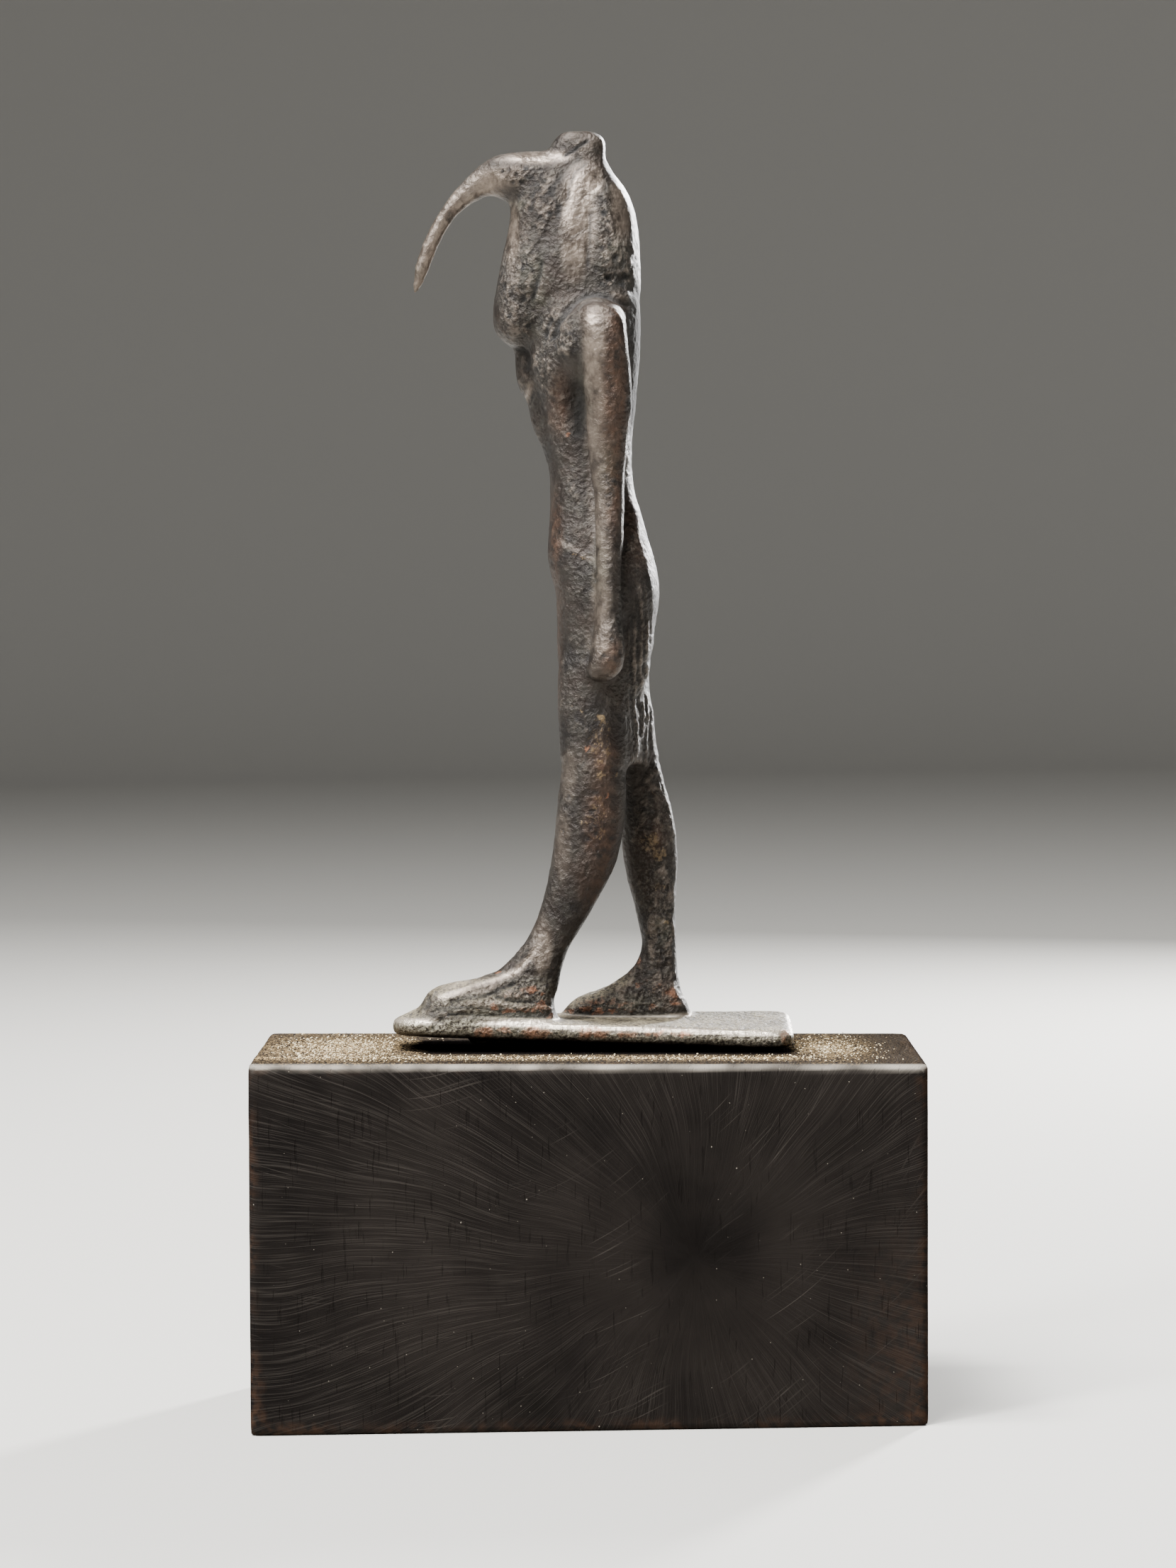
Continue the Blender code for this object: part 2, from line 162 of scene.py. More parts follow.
def neighbourMean(values, edges, count):  # mean over the vertices that share an edge
    total = np.zeros_like(values)
    tally = np.bincount(edges.ravel(), minlength=count).astype(float)
    columns = values.reshape(count, -1)
    for i in range(columns.shape[1]):
        column = columns[:, i]
        total.reshape(count, -1)[:, i] = (
            np.bincount(edges[:, 0], weights=column[edges[:, 1]], minlength=count)
            + np.bincount(edges[:, 1], weights=column[edges[:, 0]], minlength=count))
    return total / (tally if values.ndim == 1 else tally[:, None])


# Noise of about -1 to 1 with features of this size in mm, each octave 2.1 times finer; another shift
# gives another pattern
def noiseField(points, size, octaves=3, shift=0.0, stretch=(1, 1, 1)):
    scale = np.array(stretch) * 1000 / size
    scaled = points * scale + shift
    return np.array([noise.fractal(p, 0.9, 2.1, octaves) for p in scaled.tolist()])


def smoothStep(values, low, high):
    t = np.clip((values - low) / (high - low), 0, 1)
    return t * t * (3 - 2 * t)


# 1 in the middle of each pit and 0 from its rim on; pits this far apart in mm
def pitField(points, size, shift=0.0):
    scaled = points * (1000 / size) + shift
    nearest = np.array([noise.voronoi(p)[0][0] for p in scaled.tolist()])
    return 1 - smoothStep(nearest, 0.05, 0.62)      # floor and rim, as shares of the spacing


# Soft ovals: x, height, half-length and half-height in thousandths, and strength where it isn't 1
def spots(flat, rows):
    result = np.zeros(len(flat))
    for x, h, halfX, halfH, *strength in rows:
        away = ((flat[:, 0] - x) / halfX)**2 + ((flat[:, 1] - h) / halfH)**2
        result = np.maximum(result, np.exp(-away * away * 0.7) * (strength[0] if strength else 1))
    return result


def lineDistance(flat, points):  # distance to a bent line, in thousandths
    best = np.full(len(flat), 1e9)
    for a, b in zip(points, points[1:]):
        a, b = np.array(a, float), np.array(b, float)
        along = b - a
        t = np.clip(((flat - a) @ along) / (along @ along), 0, 1)
        away = flat - a - t[:, None] * along
        best = np.minimum(best, np.hypot(away[:, 0], away[:, 1]))
    return best


# The bronze. Places and sizes on it are thousandths of its height: x towards the heels, h upwards.
bronze = {
    "voxel": 0.00025,
    "relaxing": 7,                           # rounds of smoothing
    "soften": (0.06, 0.44),                  # how much each round does on the plate, and more above it
    "regain": 0.00005,                       # what the smoothing takes off, given back
    "plateHeight": 31,                       # the casting below this is its base plate
    # a line, its half-width, and its depth in mm (raised where negative); on both sides of the figure
    "grooves": [
        ([(-10.3, 964.5), (-22.5, 956.1), (-33.2, 938.6), (-40.1, 927.2)], 5.0, 0.12),  # lappet to crown
        ([(-50.1, 850.3), (-51.6, 838.8), (-56.2, 823.6), (-60, 812.9)], 2.0, 0.26),  # lappet's rear edge
        ([(-18.6, 802), (-11.8, 809.6), (-3.4, 814.9), (8, 816.4), (20.1, 815.7), (30, 810.4),
          (41.3, 805.1)], 3.4, 0.34),  # wig over the shoulder
        ([(-22, 799), (-27.9, 791), (-33.2, 781.9), (-37, 770.4)], 3.4, 0.30),
        ([(-41.6, 787.9), (-44.7, 778.1), (-46.2, 771.2)], 3.0, 0.16),
        ([(-92.4, 767), (-82.4, 760.8), (-71.7, 757), (-64.8, 758.6), (-60.9, 764.7)], 3.2, 0.14),
        ([(-65.7, 754.5), (-64.9, 743.8), (-67.2, 737.6)], 2.8, 0.18),
        ([(-60.8, 736.7), (-55.5, 721.4), (-49.4, 709.2)], 3.0, 0.12),
        ([(-86.9, 929.6), (-80.8, 918.9)], 6.0, 0.12),  # under the eye
        ([(-97.6, 964.7), (-86.9, 967.7), (-72.3, 968.5)], 4.0, -0.08),  # brow
    ],
    # the same on the near side alone: wear, cracks and creases of the casting
    "nearGrooves": [
        ([(-1.1, 984.5), (-10.3, 978.4), (-18, 973), (-24.9, 969.2)], 2.0, 0.26),
        ([(-2.7, 959.1), (-13.4, 950), (-20.2, 933.3), (-22.5, 918)], 1.5, 0.12),
        ([(3.4, 907.1), (1.9, 886.7), (1.1, 867.8), (-0.4, 847.4)], 2.2, 0.16),
        ([(-18.6, 876.1), (-11, 880.7), (-2.7, 887.5)], 1.6, 0.11),
        ([(-12.5, 899.6), (-5.7, 901.8), (2.7, 901.1)], 1.6, 0.09),
        ([(-9.5, 801.3), (-2.7, 805.8), (4.9, 808.1), (17.1, 807.3), (27.7, 805.8),
          (33, 801.3)], 1.5, 0.10),
        ([(-11.1, 717.1), (-8.8, 690.5), (-11.1, 667.6)], 7.0, 0.22),  # before the arm
        ([(-33.2, 630.2), (-24.8, 631.8), (-17.2, 628.7)], 1.8, 0.08),
        ([(-30.9, 547.7), (-18.7, 541.6), (-5.7, 535.5), (6.5, 530.9)], 3.0, -0.06),
        ([(-159.3, 55.6), (-145.5, 60.9), (-125.5, 67.1), (-104.8, 73.3),
          (-81, 81.7)], 3.4, -0.16),  # instep
        ([(-147.9, 50.7), (-133.4, 55.3), (-113.5, 57.3), (-99, 63.6), (-82.2, 69)], 3.0, 0.20),
        ([(-99, 56.7), (-79.9, 52.1), (-60.8, 51.3), (-40.1, 48.2)], 2.2, 0.20),
        ([(-166.3, 42.9), (-137.2, 45.9), (-99, 42.9), (-68.4, 40.6), (-41.7, 39)], 2.0, 0.18),
        ([(-150, 38), (-120, 38.5), (-90, 37), (-60, 35.5), (-30, 34), (20, 33), (60, 32.5),
          (88, 33)], 1.9, 0.26),
        ([(-175.4, 59.4), (-173.1, 50.9), (-176.2, 44)], 2.6, 0.24),
        ([(-168.8, 22.9), (-164.2, 29.1), (-158.1, 33.6)], 1.6, 0.30),  # crack in the plate
    ],
    "pits": [(17.8, 904.9, 3), (15.6, 866.3, 2.8), (20.9, 895, 2.2), (-86.1, 952.5, 2.6),
             (-77.7, 947.9, 2.8), (-67.7, 954, 2.6), (-62.4, 944.8, 3), (-82.3, 938.7, 2.6),
             (-72.3, 938.7, 3), (-93, 950.9, 2.2), (-42, 904, 4), (-62, 910, 3.2), (29, 857, 3.6),
             (40, 837, 3.4), (22, 834, 3.6), (-70, 813, 3.6), (-85, 794, 3.2), (-65, 782, 3),
             (-21.4, 274, 2.6), (-27.5, 237, 2.4), (9, 508, 2.4), (13, 494, 2)],
    "pitDepth": 0.15,                        # mm
    # sizes in mm of what the relief is made of
    "sizes": {"wobble": 6.0, "astray": 1.3, "grit": 0.6, "scars": 2.7, "bites": 1.5, "smallBites": 0.6,
              "patches": 2.4, "fleckEdge": 0.8, "foldWander": 3.0},
    "astray": 0.0004,                        # how far places are shifted, so that no pit is round
    # depths in mm: where it is corroded, where it isn't, and everywhere
    "corroded": {"scars": 0.28, "grit": 0.07, "bites": 0.06, "smallBites": 0.02, "raised": 0.04},
    "sound": {"scars": 0.045, "grit": 0.022, "bites": 0.010},
    "wobbleDepth": 0.05,
    "farSide": 0.35,                         # the far side is marked alike, but this much
    "crustPatches": (0.40, 0.06),            # how much corrosion there is anywhere: in patches, and evenly
    "crustOnPolish": 0.25,                   # what is left of it where the surface is rubbed
    "plateCalm": 0.35,                       # the plate is this rough, next to the figure
    "sunkRounds": 5,                         # how wide the surroundings are that a point is held against
    "sunkRange": (0.016, 0.085),             # mm below its surroundings where dirt and painted shade begin, and are full
    "proudRange": (0.016, 0.075),            # mm above them where rubbing begins, and is full
    # where the patina is rubbed and painted with highlights, painted black as shade, sooty and painted in
    # shade, corroded, warm, olive, green (besides the plate), or flecked: x, h, half-length, half-height,
    # and strength where it isn't 1
    "rubbedAndPaintedHighlight": [(-55, 967, 35, 7), (-107, 938, 23, 14, 0.85), (-138, 917, 17, 17, 0.75),
               (-161, 887, 17, 23, 0.75), (-174, 856, 14, 26, 0.75), (-184, 830, 11, 15, 0.7),
               (-10, 905, 16, 50), (4, 942, 11, 16), (-14, 860, 12, 24), (36, 916, 11, 36, 0.75),
               (-82, 880, 7, 40), (5, 788, 7, 7), (8, 784, 14, 17, 0.40), (6, 750, 10, 46, 0.8),
               (7, 690, 10, 56, 0.55), (9, 620, 9, 56, 0.42), (14, 553, 9, 44, 0.45),
               (14, 484, 9, 36, 0.7), (12, 441, 12, 16, 0.4), (-21, 296, 8, 26, 0.3),
               (-28, 222, 8, 34, 0.38), (-50, 110, 9, 26, 0.8), (-122, 66, 34, 10, 0.45),
               (-110, 50, 50, 8, 0.3)],
    "paintedShadeBehindArm": [(51, 775, 9, 56), (51, 705, 6, 40)],          # painted shade: black laid into the shadowed gap behind the near arm
    # dark patina, and painted shade on faces the light misses: the torso's front, the near calf, below the
    # kilt's hem and beside the arm
    "darkPatinaAndPaintedShade": [(-51, 914, 16, 28), (27, 838, 20, 22), (-66, 806, 13, 34, 0.7), (44, 890, 9, 54, 0.6),
             (-14, 704, 12, 26, 0.9), (22, 346, 22, 22), (52, 470, 12, 60, 0.6), (62, 300, 16, 26, 0.8),
             (-40, 640, 12, 30, 0.5), (30, 520, 10, 60, 0.6), (-2, 190, 14, 26, 0.6),
             (-96, 912, 10, 8, 0.6), (-18, 640, 16, 34, 0.35), (-16, 500, 18, 56, 0.30),
             (-30, 200, 20, 50, 0.30)],
    # bent lines painted bright as highlights along ridges and edges, and rubbed smoother, with their
    # half-width and strength
    "paintedHighlightLines": [
        ([(-160, 56), (-145, 61), (-125, 67), (-105, 73), (-81, 82), (-62, 100), (-52, 118)], 3.4, 1.0),
        ([(-62, 722), (-70, 700), (-66, 676)], 3.0, 0.8),
        ([(-36, 560), (-24, 548), (-8, 538), (4, 530)], 2.6, 0.35),
    ],
    "crust": [(-52, 919, 22, 29), (-78, 947, 26, 9), (32, 848, 24, 32), (-74, 820, 22, 62),
              (19.5, 882, 9, 30), (-52, 730, 20, 34, 0.8), (-30, 684, 17, 38, 0.45), (-36, 778, 22, 26),
              (-11, 600, 14, 40, 0.4), (-58, 100, 16, 14, 0.7), (51, 542, 12, 26), (56, 399, 12, 85),
              (75, 281, 12, 20), (71, 230, 20, 40), (75, 172, 20, 40), (79, 117, 17, 36),
              (-90, 58, 50, 18), (60, 62, 50, 30)],
    "warm": [(26, 427, 13, 20), (28, 706, 14, 90), (30, 774, 11, 31), (-36, 559, 8, 40),
             (-36, 446, 7, 80), (27, 607, 9, 56), (14, 239, 18, 60), (6.5, 185, 17, 31),
             (-30, 700, 14, 30), (52, 560, 16, 40), (93, 56, 14, 12), (18, 320, 14, 30),
             (-140, 905, 12, 12), (70, 225, 14, 20), (-150, 884, 12, 16, 0.7), (-170, 856, 9, 20, 0.7),
             (-182, 832, 7, 14, 0.6)],
    "olive": [(-78, 913, 11, 9), (12, 523, 9, 31), (-7, 706, 11, 31), (22, 625, 10, 31),
              (-100, 40, 46, 10), (-186, 838, 8, 14), (46.9, 43.1, 9, 5), (82, 128, 8, 16),
              (-60, 820, 14, 40), (30, 850, 20, 26)],
    "verdigris": [(-112, 50, 56, 13, 0.65), (-60, 62, 30, 16, 0.3), (45, 44, 44, 9, 0.3)],
    "ochre": [(-14.9, 372.6, 4, 3), (-5, 366.5, 5, 4), (14.2, 360.4, 4, 6), (11.9, 296.8, 7, 4),
              (8, 263, 5, 4), (-28.7, 236.2, 3, 3), (21.8, 295.2, 5, 4), (6.5, 261.5, 3, 4),
              (12.6, 229.3, 6, 4), (-5, 246.9, 3, 4), (73.9, 275.2, 5, 5), (68.6, 220.9, 13, 15),
              (77.9, 208, 11, 12), (77.9, 171.3, 8, 8), (10, 330, 20, 40, 0.8), (10, 250, 18, 40, 0.8),
              (85.7, 132.5, 5, 3), (70.9, 117.7, 4, 4), (-10, 534, 12, 3.4), (29.2, 300, 5, 5),
              (-122, 45, 4, 3)],
    "red": [(-21, 666.1, 4, 5), (-1.9, 326.7, 6, 4), (21.1, 275.3, 4, 4), (-60, 65.1, 7, 4),
            (-49.3, 60, 6, 4), (-100.5, 46.7, 8, 4), (-83.7, 40, 12, 3.4), (-49.3, 50, 8, 4),
            (-99, 83.5, 4, 4), (97.3, 43.9, 9, 6), (91.9, 54, 8, 6), (54.7, 88.9, 6, 7),
            (46.9, 81.2, 6, 6), (71, 40.7, 8, 3), (57, 66, 7, 5), (-112, 20, 16, 7), (-91, 21, 12, 6),
            (-55, 19, 22, 10), (5, 18, 24, 8), (45, 17.5, 17, 7), (71, 17, 15, 6), (102, 17, 17, 6),
            (-75, 62, 34, 9, 0.75), (-40, 88, 12, 9, 0.7), (80, 60, 26, 16, 0.7), (20, 45, 40, 6, 0.85),
            (-60, 44, 40, 5, 0.9), (203.8, 29.1, 8, 3), (0, 36, 70, 2), (213, 14, 8, 9)],
    "fleckStray": 5.0,                       # how far the outlines of flecks are torn
    "kiltHem": [(-30, 314), (0, 308), (28, 308.5), (41, 303), (49, 313), (58, 320), (70, 317), (75, 314)],
    "kiltStep": 0.10,                        # mm that the kilt stands proud of the legs
    "hemEdge": (-2.5, 2.0),                  # below and above the hem, from legs to kilt
    "kiltFade": (350, 430),                  # the step fades out between these heights
    "armsFrom": 62,                          # the arms lie farther out than this from the middle
    "kiltPleats": (57, 400, 16, 95),         # the oval behind the hand where its folds show
    "pleatSpacing": 0.6,                     # mm
    "pleatWander": 0.35,                     # mm
    "pleatDepth": 0.06,                      # mm
    # the patina's pattern sizes in mm. Real grains are about 0.1 mm; specks, folds and pores are drawn as
    # coarse as they need to be to show.
    "patterns": {"clouds": 5.0, "mottle": 1.2, "speck": 0.30, "folds": 0.4, "pores": 0.55},
    "ground": ("#14100e", "#29211b"),
    # films and stains, painted highlights and painted shade among them: colour, where, which pattern, where
    # in the pattern it starts and is full, how much
    "coats": [
        ("#34312c", "everywhere", "mottle", 0.46, 0.60, 0.55),
        ("#403f35", "olive", "mottle", 0.36, 0.60, 0.75),
        ("#422c1e", "warm", "mottle", 0.36, 0.64, 0.80),
        ("#85806f", "verdigris", "speck", 0.40, 0.60, 0.85),
        ("#56514a", "crust", "speck", 0.48, 0.62, 0.65),
        # dark patina and painted shade
        ("#17120f", "darkPatinaAndPaintedShade", "mottle", 0.30, 0.55, 0.75),
        # rubbed metal, and painted highlights where the light strikes the shoulder, arm, head and foot
        ("#877a6e", "rubbedAndPaintedHighlight", "mottle", 0.22, 0.66, 0.90),
        # painted highlight: the plate's rounded top edge coloured pale
        ("#b3aa9b", "paintedPlateEdgeHighlight", "everywhere", 0.0, 1.0, 0.85),
        ("#8f846b", "sandy", "speck", 0.40, 0.58, 0.80),
        # dirt held in hollows and grooves, and painted shade there and behind the near arm
        ("#0b0908", "dirtAndPaintedShade", "everywhere", 0.0, 1.0, 0.80),
    ],
    # crumbs of corrosion: colour, where, where in the pattern they start, how much
    "flecks": [("#7c684a", "ochre", 0.74, 0.70), ("#7a5038", "red", 0.65, 0.80)],
    "fleckFull": 1.02,                       # where in the pattern they are full
    "dullness": (0.44, 0.56),
    "duller": {"crust": 0.06, "sandy": 0.15, "dirtAndPaintedShade": 0.40, "rubbedAndPaintedHighlight": -0.21},
    "metal": (0.62, 0.05),                   # bare patina, and under sand, dirt and painted shade
    "bump": {"crust": 0.75, "all": 0.42, "rubbedAndPaintedHighlight": 0.30, "height": 0.00024},
}


def patinatedBronze(size, markNames):
    # Solid-cast leaded bronze, buried, cleaned and handled. Its brown-black patina keeps a metal's lustre
    # where it is rubbed; elsewhere it is dull, grainy, and stained orange, ochre and grey-green. Highlights
    # and shade are also painted into its colour.
    material, tree, shader = newMaterial("patinatedBronze")
    place = addNode(tree, "TexCoord", "Object", {})
    marks = {name: addNode(tree, "Attribute", "Fac", {}, attribute_name=name) for name in markNames}
    marks["everywhere"] = 1.0
    # slow changes of the patina, patches of corrosion, and single grains
    scale = {name: perMetre(width) for name, width in size["patterns"].items()}
    clouds = addNode(tree, "TexNoise", "Fac", {"Vector": place, "Scale": scale["clouds"], "Detail": 5.0})
    mottle = addNode(tree, "TexNoise", "Fac", {"Vector": place, "Scale": scale["mottle"], "Detail": 6.0,
                                               "Roughness": 0.65})
    speck = addNode(tree, "TexNoise", "Fac", {"Vector": place, "Scale": scale["speck"], "Detail": 4.0,
                                              "Roughness": 0.7})
    ground = addNode(tree, "MapRange", "Result", {"Value": clouds, "From Min": 0.38, "From Max": 0.64})
    dark, light = size["ground"]
    tone = addNode(tree, "Mix", 2, {0: ground, 6: linearColour(dark), 7: linearColour(light)},
                   data_type="RGBA")
    patterns = {"mottle": mottle, "speck": speck, "everywhere": 1.0}
    for colour, mark, pattern, low, high, most in size["coats"]:
        amount = addNode(tree, "MapRange", "Result", {"Value": patterns[pattern], "From Min": low,
                                                      "From Max": high, "To Max": most})
        amount = addNode(tree, "Math", 0, {0: amount, 1: marks[mark]}, operation="MULTIPLY")
        tone = addNode(tree, "Mix", 2, {0: amount, 6: tone, 7: linearColour(colour)}, data_type="RGBA")
    # flecks keep to their marked places, with ragged edges and gaps
    ragged = addNode(tree, "Math", 0, {0: speck, 1: 0.8}, operation="MULTIPLY")
    ragged = addNode(tree, "Math", 0, {0: ragged, 1: mottle}, operation="ADD")
    for colour, mark, low, most in size["flecks"]:
        amount = addNode(tree, "Math", 0, {0: marks[mark], 1: ragged}, operation="MULTIPLY")
        amount = addNode(tree, "MapRange", "Result", {"Value": amount, "From Min": low,
                                                      "From Max": size["fleckFull"], "To Max": most})
        tone = addNode(tree, "Mix", 2, {0: amount, 6: tone, 7: linearColour(colour)}, data_type="RGBA")
    tree.links.new(tone, shader.inputs["Base Color"])

    # how dull each place is: corrosion, dirt and painted shade are duller than the rubbed metal
    least, most = size["dullness"]
    dull = addNode(tree, "MapRange", "Result", {"Value": mottle, "From Min": 0.32, "From Max": 0.68,
                                                "To Min": least, "To Max": most})
    for mark, change in size["duller"].items():
        step = addNode(tree, "Math", 0, {0: marks[mark], 1: change}, operation="MULTIPLY")
        dull = addNode(tree, "Math", 0, {0: dull, 1: step}, operation="ADD")
    tree.links.new(dull, shader.inputs["Roughness"])
    sandDirtAndPaintedShade = addNode(tree, "Math", 0, {0: marks["sandy"], 1: marks["dirtAndPaintedShade"]}, operation="MAXIMUM")
    bare, covered = size["metal"]
    metal = addNode(tree, "MapRange", "Result", {"Value": sandDirtAndPaintedShade, "To Min": bare, "To Max": covered})
    tree.links.new(metal, shader.inputs["Metallic"])

    # bump: grain that is strongest in the corrosion and least where it is rubbed and painted with
    # highlights, and the kilt's fine folds
    bump = size["bump"]
    drawn = addNode(tree, "Mapping", "Vector", {"Vector": place, "Scale": (1.0, 1.0, 0.12)})
    folds = addNode(tree, "TexNoise", "Fac", {"Vector": drawn, "Scale": scale["folds"], "Detail": 3.0})
    pores = addNode(tree, "TexVoronoi", "Distance", {"Vector": place, "Scale": scale["pores"]})
    amount = addNode(tree, "Math", 0, {0: marks["crust"], 1: bump["crust"]}, operation="MULTIPLY")
    amount = addNode(tree, "Math", 0, {0: amount, 1: bump["all"]}, operation="ADD")
    spared = addNode(tree, "Math", 0, {0: marks["rubbedAndPaintedHighlight"], 1: bump["rubbedAndPaintedHighlight"]}, operation="MULTIPLY")
    amount = addNode(tree, "Math", 0, {0: amount, 1: spared}, operation="SUBTRACT")
    rough = addNode(tree, "Math", 0, {0: mottle, 1: speck}, operation="ADD")
    rough = addNode(tree, "Math", 0, {0: rough, 1: pores}, operation="ADD")
    rough = addNode(tree, "Math", 0, {0: rough, 1: amount}, operation="MULTIPLY")
    creased = addNode(tree, "Math", 0, {0: folds, 1: marks["pleats"]}, operation="MULTIPLY")
    rough = addNode(tree, "Math", 0, {0: rough, 1: creased}, operation="ADD")
    normal = addNode(tree, "Bump", "Normal", {"Strength": 1.0, "Distance": bump["height"],
                                            "Height": rough})
    tree.links.new(normal, shader.inputs["Normal"])
    return material


def makeFigure(size):
    mesh, coarse = fineCopy("thoth_figure", size["voxel"])
    bpy.data.meshes.remove(coarse)
    count = len(mesh.vertices)
    edges = np.zeros(len(mesh.edges) * 2, np.int64)
    mesh.edges.foreach_get("vertices", edges)
    edges = edges.reshape(-1, 2)
    points = readPoints(mesh)
    height = intoFrame(points, figureSeat.inverted())[:, 2] / seat["tall"] * 1000
    onThePlate, more = size["soften"]
    softening = onThePlate + more * smoothStep(height, size["plateHeight"] - 4, size["plateHeight"] + 8)
    for _ in range(size["relaxing"]):        # takes the facets off, and least off the plate's edges
        points = points + softening[:, None] * (neighbourMean(points, edges, count) - points)
    writePoints(mesh, points)
    normals = readNormals(mesh)
    points = points + normals * size["regain"]
    local = intoFrame(points, figureSeat.inverted())
    flat = local[:, (0, 2)] / seat["tall"] * 1000
    facing = np.clip((np.abs(normals[:, 1]) - 0.12) / 0.6, 0, 1)
    near = smoothStep(-normals[:, 1], -0.1, 0.35)
    onPlate = 1 - smoothStep(flat[:, 1], size["plateHeight"] - 1, size["plateHeight"] + 4)
    # painted highlight: where the plate's edge turns from top to side, it is coloured pale
    paintedPlateEdgeHighlight = (onPlate * smoothStep(normals[:, 2], 0.20, 0.50)
                 * (1 - smoothStep(normals[:, 2], 0.75, 0.93)))
    plateSide = onPlate * (1 - smoothStep(np.abs(normals[:, 2]), 0.35, 0.75))
    print("figure: smoothed, places read")

    wide = size["sizes"]
    wobble = noiseField(points, wide["wobble"], 2, 7.3)
    astray = np.stack([noiseField(points, wide["astray"], 2, s) for s in (2.0, 41.0, 67.0)], 1)
    shifted = points + size["astray"] * astray
    grit = noiseField(shifted, wide["grit"], 3)
    scars = noiseField(shifted, wide["scars"], 4, 23.0, (1, 1, 0.6))
    bites = pitField(shifted, wide["bites"])
    smallBites = pitField(shifted, wide["smallBites"], 13.0)
    patches = noiseField(points, wide["patches"], 3, 19.1)
    either = size["farSide"] + (1 - size["farSide"]) * near
    inPatches, evenly = size["crustPatches"]
    crust = np.clip(spots(flat, size["crust"]) * either + inPatches * patches + evenly, 0, 1)
    rubbedAndPaintedHighlight = spots(flat, size["rubbedAndPaintedHighlight"])
    for line, halfWidth, strength in size["paintedHighlightLines"]:
        rubbedAndPaintedHighlight = np.maximum(rubbedAndPaintedHighlight, strength * np.exp(-(lineDistance(flat, line) / halfWidth)**2))
    rubbedAndPaintedHighlight = rubbedAndPaintedHighlight * (0.5 + 0.5 * near) * (0.9 + 0.5 * patches)
    rubbedAndPaintedHighlight = np.clip(np.maximum(rubbedAndPaintedHighlight, paintedPlateEdgeHighlight), 0, 1)
    kept = 1 - (1 - size["crustOnPolish"]) * rubbedAndPaintedHighlight
    crust = crust * kept
    press = np.zeros(count)                  # mm inwards
    grooveDirtAndPaintedShade = np.zeros(count)
    for lines, side in ((size["grooves"], facing), (size["nearGrooves"], facing * near)):
        for line, halfWidth, depth in lines:
            here = np.exp(-(lineDistance(flat, line) / halfWidth)**2) * side
            press += depth * here
            # grooves are coloured dark too: held dirt, and painted shade where shadow falls in them
            grooveDirtAndPaintedShade = np.maximum(grooveDirtAndPaintedShade, here * min(1, max(0, depth * 4)))
    for x, h, radius in size["pits"]:
        away = np.hypot(flat[:, 0] - x, flat[:, 1] - h) / radius
        press += size["pitDepth"] * (np.exp(-away**2) - 0.25 * np.exp(-(away - 1.5)**2 * 5)) * near
    print("figure: grooves and pits")

    # the hem of the kilt: above it the surface stands a little proud of the legs
    hem = np.interp(flat[:, 0], [x for x, _ in size["kiltHem"]], [h for _, h in size["kiltHem"]])
    below, above = size["hemEdge"]
    aboveHem = smoothStep(flat[:, 1], hem + below, hem + above)
    aboveHem = aboveHem * (1 - smoothStep(flat[:, 1], *size["kiltFade"]))
    body = np.abs(local[:, 1]) / seat["tall"] * 1000 <= size["armsFrom"]
    press -= size["kiltStep"] * aboveHem * body
    x, h, halfX, halfH = size["kiltPleats"]
    pleats = np.exp(-(((flat[:, 0] - x) / halfX)**4 + ((flat[:, 1] - h) / halfH)**4)) * body
    wander = size["pleatWander"] * noiseField(points, wide["foldWander"], 2, 3.1, (1, 1, 0.35))
    ridge = np.sin(2 * math.pi * (local[:, 0] * 1000 + wander) / size["pleatSpacing"])
    press += size["pleatDepth"] * ridge * pleats

    deep, slight = size["corroded"], size["sound"]
    corroded = (deep["scars"] * scars + deep["grit"] * grit + deep["bites"] * bites
                + deep["smallBites"] * smallBites - deep["raised"])
    sound = slight["scars"] * scars + slight["grit"] * grit + slight["bites"] * bites
    offPlate = smoothStep(flat[:, 1], size["plateHeight"], size["plateHeight"] + 8)
    calm = size["plateCalm"] + (1 - size["plateCalm"]) * offPlate
    press += calm * (crust * corroded + (1 - crust) * kept * sound + size["wobbleDepth"] * wobble)
    points = points - normals * (press / 1000)[:, None]
    points[:, 2] = np.minimum(points[:, 2], cadBox[1][2] - 0.00002)      # nothing rises past the solid
    writePoints(mesh, points)

    # hollows hold dirt, also painted dark as shade, and edges are rubbed: how far each point lies below the
    # mean around it, in mm
    normals = readNormals(mesh)
    mean = points
    for _ in range(size["sunkRounds"]):
        mean = neighbourMean(mean, edges, count)
    sunk = ((mean - points) * normals).sum(1) * 1000
    dirtAndPaintedShade = smoothStep(sunk, *size["sunkRange"]) * (0.5 + 0.5 * crust)
    dirtAndPaintedShade = np.maximum(dirtAndPaintedShade, grooveDirtAndPaintedShade * (0.75 + 0.6 * patches))
